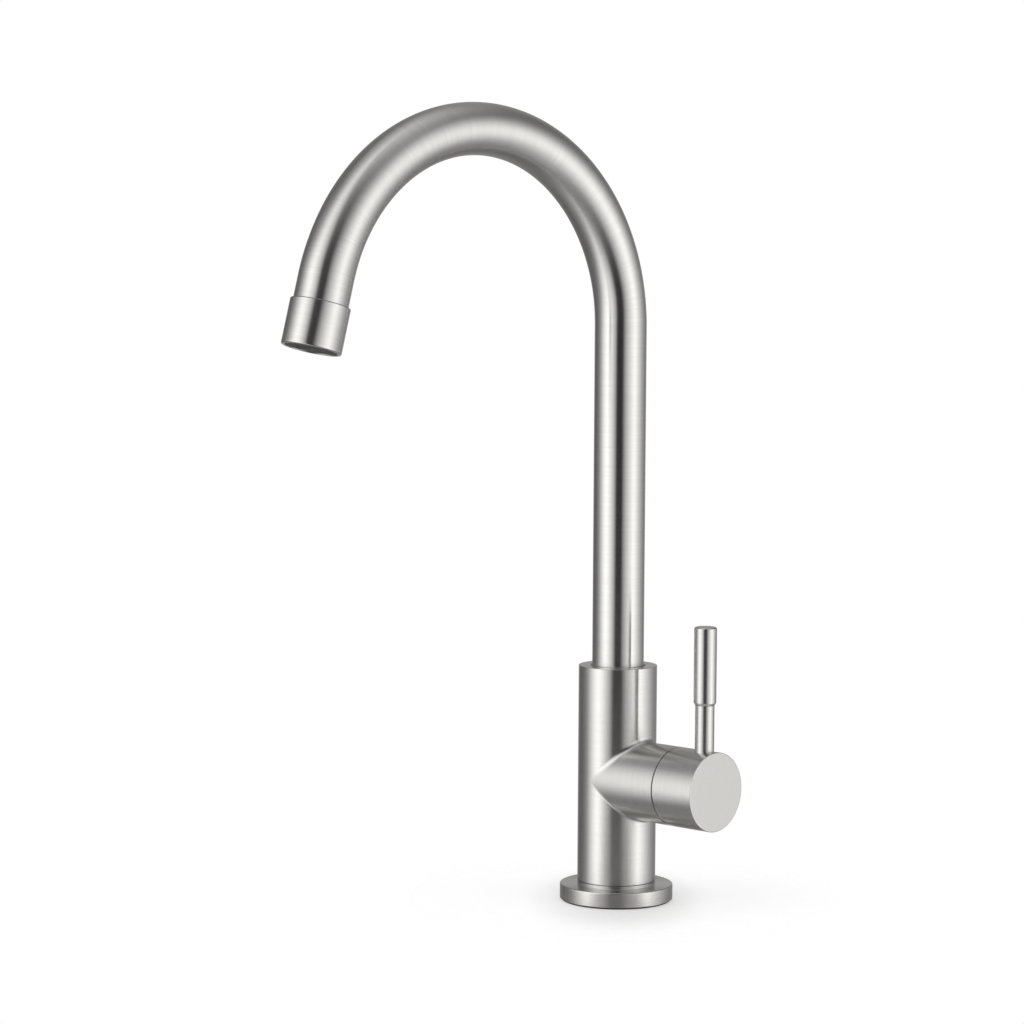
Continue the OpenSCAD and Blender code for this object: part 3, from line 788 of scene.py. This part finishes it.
def make_body():
    """The column with its boss, bored for the core, the bush, the cartridge nut and the shroud."""
    body = body_skin()
    upright = Matrix.Identity(4)
    boss = along_boss()
    lip_r = BUSH_R + FIXED_FIT
    flare_r = BUSH_R + LIP_FLARE
    mouth = [(0, LIP_UNDER - THROUGH), (lip_r, LIP_UNDER - THROUGH), (lip_r, COLUMN_TOP - LIP_DEPTH),
             (flare_r, COLUMN_TOP + FLARE_PAST), (flare_r, COLUMN_TOP + THROUGH), (0, COLUMN_TOP + THROUGH)]
    cut(body, [
        bar("cut_bore", COLUMN_BORE, COLUMN_FOOT - THROUGH, LIP_UNDER, upright, SECTIONS),
        lathe("cut_lip", [mouth], upright),
        bar("cut_thread", THREAD_BORE, SEAT_X, SEAM_X + THROUGH, boss),
        bar("cut_recess", SHROUD_R + FIXED_FIT, RECESS_X, SEAM_X + THROUGH, boss, SECTIONS),
    ])
    smooth(body)
    brush(body, [(boss, on_boss), (upright, everywhere)])
    body.data.materials.append(blended_weld)
    body.data.materials.append(satin_end)
    for face in body.data.polygons:
        if on_weld(face.center / MM):
            face.material_index = 1
        elif face.center.z > (COLUMN_TOP - TOP_LEDGE) * MM:
            face.material_index = 2
    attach(body, "base")
    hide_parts("body_shell")


def make_flange():
    """The round foot with its collar and the spigot inside the column."""
    profile = [(SPIGOT_BORE, SEAL_GAP), (FLANGE_R, SEAL_GAP), (FLANGE_R, FLANGE_TOP, FLANGE_ROUND),
               (COLUMN_R, FLANGE_TOP), (COLUMN_R, COLLAR_TOP, COLLAR_BREAK), (SPIGOT_R, COLLAR_TOP),
               (SPIGOT_R, SPIGOT_TOP), (SPIGOT_BORE, SPIGOT_TOP)]
    upright = Matrix.Identity(4)
    flange = lathe("foot_flange", [softened(profile, EDGE_BREAK, 5)], upright, brushed_stainless)
    finish_turned(flange, upright, "base_flange", "base")
    seal_top = SEAL_GAP - HAIR_GAP
    seal = [(SEAL_BORE, 0), (SEAL_R, 0), (SEAL_R, seal_top), (SEAL_BORE, seal_top)]
    ring = lathe("foot_seal", [softened(seal, EDGE_BREAK)], upright, slot_finishes["black_rubber"])
    finish_turned(ring, upright, "base_seal", "base")


def make_bush():
    """The plastic bush that the spout turns in, a step below the column's top."""
    upright = Matrix.Identity(4)
    shoulder = LIP_UNDER - HAIR_GAP
    profile = [(BUSH_BORE, BUSH_BOTTOM), (BUSH_FLANGE_R, BUSH_BOTTOM), (BUSH_FLANGE_R, shoulder),
               (BUSH_R, shoulder), (BUSH_R, BUSH_TOP), (BUSH_BORE, BUSH_TOP)]
    bush = lathe("spout_bush_ring", [softened(profile, FINE_BREAK)], upright, slot_finishes["white_plastic"])
    finish_turned(bush, upright, "spout_bush", "base")


def make_shroud():
    """The steel dome that fills the wedge under the hub's rim."""
    inner_r = DOME_R - SHROUD_WALL
    outer_start = math.asin(SHROUD_R / DOME_R)
    inner_start = math.asin((SHROUD_R - SHROUD_WALL) / inner_r)
    end = math.acos(DOME_REACH / DOME_R)

    def dome(radius, start):
        """Half of the dome's section, from its foot to its hole."""
        turns = [start + (end - start) * step / DOME_STEPS for step in range(DOME_STEPS + 1)]
        return [(radius * math.sin(turn), PIVOT_X + radius * math.cos(turn)) for turn in turns]

    floor = RECESS_X + SHROUD_FLOOR
    profile = [(THREAD_BORE + FIXED_FIT, RECESS_X), (SHROUD_R, RECESS_X), *dome(DOME_R, outer_start),
               *dome(inner_r, inner_start)[::-1], (SHROUD_R - SHROUD_WALL, floor),
               (THREAD_BORE + FIXED_FIT, floor)]
    boss = along_boss()
    shroud = lathe("boss_shroud", [softened(profile, FINE_BREAK)], boss, brushed_stainless)
    finish_turned(shroud, boss, "cartridge_shroud", "base")


def make_hub():
    """The cup that carries the lever, with its relief, its sockets and its screw hole."""
    boss = along_boss()
    profile = [(0, WEB_X), (HUB_BORE - HUB_CHAMFER, WEB_X), (HUB_BORE, WEB_X - HUB_CHAMFER),
               (HUB_BORE, HUB_RIM_X), (COLUMN_R, HUB_RIM_X, EDGE_BREAK), (COLUMN_R, HUB_END_X),
               (COLUMN_R - END_RING, HUB_END_X), (0, HUB_END_X)]
    hub = lathe("lever_hub", [softened(profile, HUB_BREAK)], boss, brushed_stainless)
    pivot = Matrix.Translation((PIVOT_X, 0, BOSS_Z)) @ Matrix.Rotation(math.radians(-LEVER_TILT), 4, "Y")
    size = 2 * COLUMN_R
    near = SEAM_X + FACE_GAP - PIVOT_X
    crest = BOSS_Z + COLUMN_R
    middle = Matrix.Translation((0, 0, BOSS_Z))
    screw = Matrix.Translation((SCREW_X, 0, 0))
    lever = at_lever()
    cut(hub, [
        block("cut_relief", (near - size, -size, -size), (near, size, size), pivot),
        bar("cut_rod", ROD_R + FIXED_FIT, ROD_SEAT, crest + THROUGH, lever),
        bar("cut_tang", TANG_R + FIXED_FIT, TANG_BOTTOM - THROUGH, ROD_SEAT + THROUGH, lever),
        bar("cut_screw", SCREW_R, BOSS_Z - COLUMN_R - THROUGH, BOSS_Z, screw),
        block("cut_stem", (WEB_X - THROUGH, -STEM_HALF, -STEM_HALF), (STEM_END_X, STEM_HALF, STEM_HALF),
              middle),
    ])
    smooth(hub)
    brush(hub, [(boss, everywhere)])
    hub.data.materials.append(satin_end)
    for face in hub.data.polygons:
        if face.center.x > (HUB_END_X - HAIR_GAP) * MM:
            face.material_index = 1
    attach(hub, "lever")
    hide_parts("handle_hub")


def make_lever():
    """The thin rod in the hub and the thicker grip on its upper end."""
    lever = at_lever()
    rod_profile = [(0, TANG_BOTTOM), (TANG_R, TANG_BOTTOM), (TANG_R, ROD_SEAT), (ROD_R, ROD_SEAT),
                   (ROD_R, GRIP_BOTTOM), (TENON_R, GRIP_BOTTOM), (TENON_R, TENON_TOP), (0, TENON_TOP)]
    rod = lathe("lever_lower_rod", [softened(rod_profile, EDGE_BREAK)], lever, polished_lever)
    finish_turned(rod, lever, "lever_rod", "lever")
    tip = [(GRIP_R - GRIP_ROUND + GRIP_ROUND * math.cos(math.radians(turn)),
            GRIP_TOP - GRIP_ROUND + GRIP_ROUND * math.sin(math.radians(turn))) for turn in range(0, 91, 10)]
    bore = TENON_R + FIXED_FIT
    grip_profile = [(0, TENON_TOP), (bore, TENON_TOP), (bore, GRIP_BOTTOM), (ROD_R, GRIP_BOTTOM),
                    (GRIP_R, GRIP_BOTTOM + GRIP_TAPER), (GRIP_R, GRIP_TOP - BESIDE_TIP), *tip,
                    (GRIP_R - BESIDE_TIP, GRIP_TOP), (0, GRIP_TOP)]
    grip = lathe("lever_upper_grip", [softened(grip_profile, EDGE_BREAK)], lever, polished_lever)
    finish_turned(grip, lever, "lever_grip", "lever")


def make_spout():
    """The gooseneck tube, with the wall's thickness inside it."""
    spout = run_tree("gooseneck_tube", gooseneck_tree(), {
        "Radius": TUBE_R * MM, "Bottom": TUBE_BOTTOM * MM, "Arch start": ARCH_START * MM,
        "Arch radius": ARCH_R * MM, "Sweep": math.radians(ARCH_SWEEP), "Tail": (TAIL_LENGTH + TUBE_LAP) * MM,
        "Swing": math.radians(-90 - SPOUT_SWING), "Flattening": ARCH_FLATTENING,
        "Ramp": math.radians(FLATTENING_RAMP), "Sections": TUBE_SECTIONS, "Rings": TUBE_RINGS,
        "Finish": brushed_stainless,
    })
    wall = spout.modifiers.new("wall", "SOLIDIFY")
    wall.thickness = TUBE_WALL * MM
    wall.offset = -1
    bake_modifiers(spout)
    smooth(spout)
    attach(spout, "spout")
    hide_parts("spout_tube")


def make_aerator():
    """The cap at the mouth, with painted shade on the rounding at its joint with the tube, and its woven
    screen.
    """
    outlet = at_outlet()
    bore = TUBE_R + FIXED_FIT
    seat = TUBE_LAP + FACE_GAP
    cap_profile = [(bore, 0), (CAP_R, 0, CAP_JOINT), (CAP_R, CAP_LENGTH, CAP_LIP_ROUND),
                   (MOUTH_R, CAP_LENGTH, EDGE_BREAK), (MOUTH_R, INSERT_X), (CAP_THREAD_R, INSERT_X),
                   (CAP_THREAD_R, seat), (bore, seat)]
    cap = lathe("aerator_cap_shell", [softened(cap_profile, CAP_BREAK)], outlet, brushed_stainless)
    finish_turned(cap, outlet, "aerator_cap", "spout")
    cap.data.materials.append(painted_joint_shade)
    # The cap's rounding next to the tube gets the darker finish: painted shade for the crevice at the joint.
    into = outlet.inverted()
    for face in cap.data.polygons:
        if (into @ (face.center / MM)).z < CAP_JOINT:
            face.material_index = 1
    screen = run_tree("aerator_screen_mesh", woven_tree(), {
        "Radius": (MOUTH_R - FINE_BREAK) * MM, "Pitch": WIRE_PITCH * MM, "Wire": WIRE_R * MM, "Wires": WIRES,
        "Finish": slot_finishes["screen_mesh"],
    })
    screen.data.transform(in_metres(outlet @ Matrix.Translation((0, 0, SCREEN_MIDDLE))))
    smooth(screen, 60)
    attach(screen, "spout")
    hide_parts("aerator_screen")


def dress_inner_nodes():
    """Gives each CAD node the finish of its material slot."""
    for entry in frame["record"]["subparts"]:
        node = frame["nodes"][entry["node"]]
        node.data.materials.clear()
        node.data.materials.append(slot_finishes[entry["material_slot"]])


# ---------------------------------------------------------------- studio


CAMERA_TURN = math.radians(41.99)
FLOOR_R = 900
FLOOR_Z = -0.05
FRONT_FLOOR = 0.85  # share of the floor that the metal shows in front


def panel_group():
    """The light of one soft panel of the tent, by direction in degrees: full at its centre, fading to
    nothing at the camera's gap, and fading slowly on the far side, above and below. On its far side it is
    seen at a slant, which narrows and lifts it."""
    tree, given, result = new_tree(
        "Soft panel", "ShaderNodeTree",
        [("Across", "NodeSocketFloat", 0), ("Up", "NodeSocketFloat", 0), ("Centre", "NodeSocketFloat", 0),
         ("Near side", "NodeSocketFloat", 1), ("Reach", "NodeSocketFloat", 45),
         ("Roundness", "NodeSocketFloat", 1.6), ("Fade", "NodeSocketFloat", 26),
         ("Fade shape", "NodeSocketFloat", 2), ("Centre up", "NodeSocketFloat", 0),
         ("Lift", "NodeSocketFloat", 0), ("Narrowing", "NodeSocketFloat", 0),
         ("Fade up", "NodeSocketFloat", 50), ("Fade down", "NodeSocketFloat", 45),
         ("Level", "NodeSocketFloat", 1)],
        [("Light", "NodeSocketFloat")])

    def bell(distance, width, shape):
        """A soft bell curve of a distance that isn't negative."""
        ratio = calc(tree, "POWER", calc(tree, "DIVIDE", distance, width), shape)
        return calc(tree, "EXPONENT", calc(tree, "MULTIPLY", ratio, -0.5))

    off = calc(tree, "MULTIPLY", calc(tree, "SUBTRACT", given["Across"], given["Centre"]), given["Near side"])
    inner = calc(tree, "POWER", calc(tree, "DIVIDE", calc(tree, "MAXIMUM", off, 0), given["Reach"]),
                 given["Roundness"])
    inner = calc(tree, "SUBTRACT", 1, inner, clamp=True)
    beyond = calc(tree, "MAXIMUM", calc(tree, "MULTIPLY", off, -1), 0)
    outer = bell(beyond, given["Fade"], given["Fade shape"])
    slant = calc(tree, "SUBTRACT", 1, calc(tree, "MULTIPLY", beyond, given["Narrowing"]))
    slant = calc(tree, "MAXIMUM", slant, 0.45)
    middle = calc(tree, "ADD", given["Centre up"], calc(tree, "MULTIPLY", beyond, given["Lift"]))
    rise = calc(tree, "SUBTRACT", given["Up"], middle)
    above = bell(calc(tree, "MAXIMUM", rise, 0), calc(tree, "MULTIPLY", given["Fade up"], slant), 2)
    below = bell(calc(tree, "MAXIMUM", calc(tree, "MULTIPLY", rise, -1), 0),
                 calc(tree, "MULTIPLY", given["Fade down"], slant), 2)
    light = calc(tree, "MULTIPLY", calc(tree, "MULTIPLY", inner, outer), calc(tree, "MULTIPLY", above, below))
    connect(tree, calc(tree, "MULTIPLY", light, given["Level"]), result["Light"])
    return tree


def make_tent():
    """The light tent, by direction in degrees from the camera's: two soft panels beside the camera, a dim
    ceiling, ground and back, the camera's gap between the panels, and white for the camera itself."""
    world = bpy.data.worlds.new("light_tent")
    bpy.context.scene.world = world
    world.use_nodes = True
    tree = world.node_tree
    back = tree.nodes["Background"]
    panel = panel_group()
    direction = tree.nodes.new("ShaderNodeTexCoord").outputs["Generated"]
    turned = add_node(tree, "ShaderNodeVectorRotate", {"rotation_type": "Z_AXIS"}, Vector=direction,
                      Angle=-CAMERA_TURN).outputs[0]
    axes = add_node(tree, "ShaderNodeSeparateXYZ", Vector=turned).outputs
    forward = calc(tree, "MULTIPLY", axes["Y"], -1)
    across = calc(tree, "DEGREES", calc(tree, "ARCTAN2", axes["X"], forward))
    up = calc(tree, "DEGREES", calc(tree, "ARCSINE", axes["Z"]))
    aside = calc(tree, "ABSOLUTE", across)
    left = use_group(tree, panel, Across=across, Up=up, Centre=-59.0, Near_side=1.0, Reach=45.5,
                     Roundness=1.4, Fade=26.0, Fade_shape=2.0, Centre_up=0.0, Lift=0.2, Narrowing=0.013,
                     Fade_up=48.0, Fade_down=38.0, Level=1.44)[0]
    right = use_group(tree, panel, Across=across, Up=up, Centre=68.0, Near_side=-1.0, Reach=59.0,
                      Roundness=1.2, Fade=24.0, Fade_shape=1.4, Centre_up=-7.0, Lift=0.0, Narrowing=0.005,
                      Fade_up=31.0, Fade_down=32.0, Level=1.41)[0]
    ceiling = ramp(tree, up, 45, 80, 0.0, 0.5)
    ground = calc(tree, "MULTIPLY", ramp(tree, up, -35, -65, 0.0, 0.24), ramp(tree, aside, 165, 90))
    back_height = calc(tree, "MULTIPLY", ramp(tree, up, 75, 15), ramp(tree, up, -60, -10))
    behind = calc(tree, "MULTIPLY", ramp(tree, aside, 143, 178, 0.0, 0.25), back_height)
    gap_height = calc(tree, "MULTIPLY", ramp(tree, up, 60, 15), ramp(tree, up, -60, -30))
    gap = calc(tree, "MULTIPLY", ramp(tree, aside, 24, 12, 0.0, 0.82), gap_height)
    base = calc(tree, "MULTIPLY", calc(tree, "SUBTRACT", 1, gap), 0.14)
    light = calc(tree, "ADD", calc(tree, "ADD", left, right), calc(tree, "ADD", ceiling, ground))
    light = calc(tree, "ADD", light, calc(tree, "ADD", behind, base))
    seen = tree.nodes.new("ShaderNodeLightPath").outputs["Is Camera Ray"]
    # The camera sees plain white, and everything else the tent, at most 1.7 strong.
    strength = calc(tree, "MAXIMUM", light, seen)
    strength = calc(tree, "MINIMUM", strength, calc(tree, "ADD", calc(tree, "MULTIPLY", seen, -0.7), 1.7))
    back.inputs["Color"].default_value = (1, 1, 1, 1)
    connect(tree, strength, back.inputs["Strength"])


def flat_length(tree, x, y):
    """The length of a flat vector."""
    return calc(tree, "SQRT", calc(tree, "ADD", calc(tree, "POWER", x, 2), calc(tree, "POWER", y, 2)))


def pale_floor():
    """The floor's material: for the camera a painted shadow round the foot, a dimmer glow there, that goes
    over into the tent's white, and in the metal a ground near the object and in front, painted darker than
    the camera sees it, with the tent past that."""
    material, tree, shader = new_material("pale_floor")
    soft = "SMOOTHSTEP"
    rays = tree.nodes.new("ShaderNodeLightPath").outputs
    place = tree.nodes.new("ShaderNodeTexCoord").outputs["Object"]
    turned = add_node(tree, "ShaderNodeVectorRotate", {"rotation_type": "Z_AXIS"}, Vector=place,
                      Angle=-CAMERA_TURN).outputs[0]
    axes = add_node(tree, "ShaderNodeSeparateXYZ", Vector=turned).outputs
    away = flat_length(tree, axes["X"], axes["Y"])
    from_foot = flat_length(tree, axes["X"], calc(tree, "MULTIPLY", axes["Y"], 0.5))
    # The metal sees the floor darker than the camera does: painted shade for the object's shadow on it.
    colour = blended(tree, rays["Is Glossy Ray"], (0.8, 0.8, 0.8), (0.58, 0.58, 0.58))
    connect(tree, colour, shader.inputs["Base Color"])
    shader.inputs["Roughness"].default_value = 0.6
    # For the camera the floor glows, less near the foot: a painted shadow.
    glow = ramp(tree, from_foot, 12 * MM, 50 * MM, 0.41, 0.63, soft)
    glow = add_node(tree, "ShaderNodeEmission", Strength=calc(tree, "MULTIPLY", rays["Is Camera Ray"], glow))
    lit = tree.nodes.new("ShaderNodeAddShader")
    tree.links.new(shader.outputs[0], lit.inputs[0])
    tree.links.new(glow.outputs[0], lit.inputs[1])
    # In the metal it clears away from the object, but for a wedge in front.
    bearing = calc(tree, "ARCTAN2", calc(tree, "ABSOLUTE", axes["X"]), calc(tree, "MULTIPLY", axes["Y"], -1))
    front = calc(tree, "MULTIPLY", ramp(tree, bearing, math.radians(20), math.radians(60), 1.0, 0.0, soft),
                 ramp(tree, away, 200 * MM, 450 * MM, FRONT_FLOOR, 0.0, soft))
    in_metal = calc(tree, "MINIMUM", ramp(tree, away, 28 * MM, 90 * MM, 0.55, 1.0, soft),
                    calc(tree, "SUBTRACT", 1, front))
    clear = calc(tree, "MULTIPLY", in_metal, rays["Is Glossy Ray"])
    # For the camera it goes over into the tent's white, and from below it is clear.
    seen = calc(tree, "MULTIPLY", ramp(tree, away, 45 * MM, 130 * MM, 0.0, 1.0, soft), rays["Is Camera Ray"])
    from_below = tree.nodes.new("ShaderNodeNewGeometry").outputs["Backfacing"]
    clear = calc(tree, "MAXIMUM", calc(tree, "MAXIMUM", clear, seen), from_below)
    mixed = add_node(tree, "ShaderNodeMixShader", Fac=clear)
    tree.links.new(lit.outputs[0], mixed.inputs[1])
    tree.links.new(tree.nodes.new("ShaderNodeBsdfTransparent").outputs[0], mixed.inputs[2])
    tree.links.new(mixed.outputs[0], tree.nodes["Material Output"].inputs["Surface"])
    return material


def make_floor():
    """The round floor that the object stands on."""
    steps = 96
    points = [(0, 0, FLOOR_Z)]
    for step in range(steps):
        turn = FULL_TURN * step / steps
        points.append((FLOOR_R * math.cos(turn), FLOOR_R * math.sin(turn), FLOOR_Z))
    faces = [(0, step + 1, (step + 1) % steps + 1) for step in range(steps)]
    mesh = bpy.data.meshes.new("floor")
    mesh.from_pydata([Vector(point) * MM for point in points], [], faces)
    mesh.materials.append(pale_floor())
    floor = bpy.data.objects.new("floor", mesh)
    bpy.context.scene.collection.objects.link(floor)


def make_camera():
    """The camera at the photograph's viewing angle."""
    distance = 1554
    height = 318.7
    yaw = math.radians(-1.9116)
    pitch = math.radians(4.771)
    roll = math.radians(0.32)
    focal = 3223.62
    image_half = 512
    data = bpy.data.cameras.new("camera")
    data.sensor_width = 36
    data.lens = data.sensor_width / 2 * focal / image_half
    data.clip_start = 0.05
    data.clip_end = 20
    camera = bpy.data.objects.new("camera", data)
    bpy.context.scene.collection.objects.link(camera)
    ahead = Vector((math.sin(yaw) * math.cos(pitch), math.cos(yaw) * math.cos(pitch), -math.sin(pitch)))
    level = Vector((math.cos(yaw), -math.sin(yaw), 0))
    upward = level.cross(ahead)
    right = level * math.cos(roll) + upward * math.sin(roll)
    up = upward * math.cos(roll) - level * math.sin(roll)
    view = Matrix((right, up, -ahead)).transposed().to_4x4()
    view.translation = Vector((0, -distance, height)) * MM
    camera.matrix_world = Matrix.Rotation(CAMERA_TURN, 4, "Z") @ view
    bpy.context.scene.camera = camera


make_camera()
make_tent()
make_floor()
dress_inner_nodes()
make_body()
make_flange()
make_bush()
make_shroud()
make_hub()
make_lever()
make_spout()
make_aerator()

bpy.context.scene.view_settings.view_transform = "Standard"
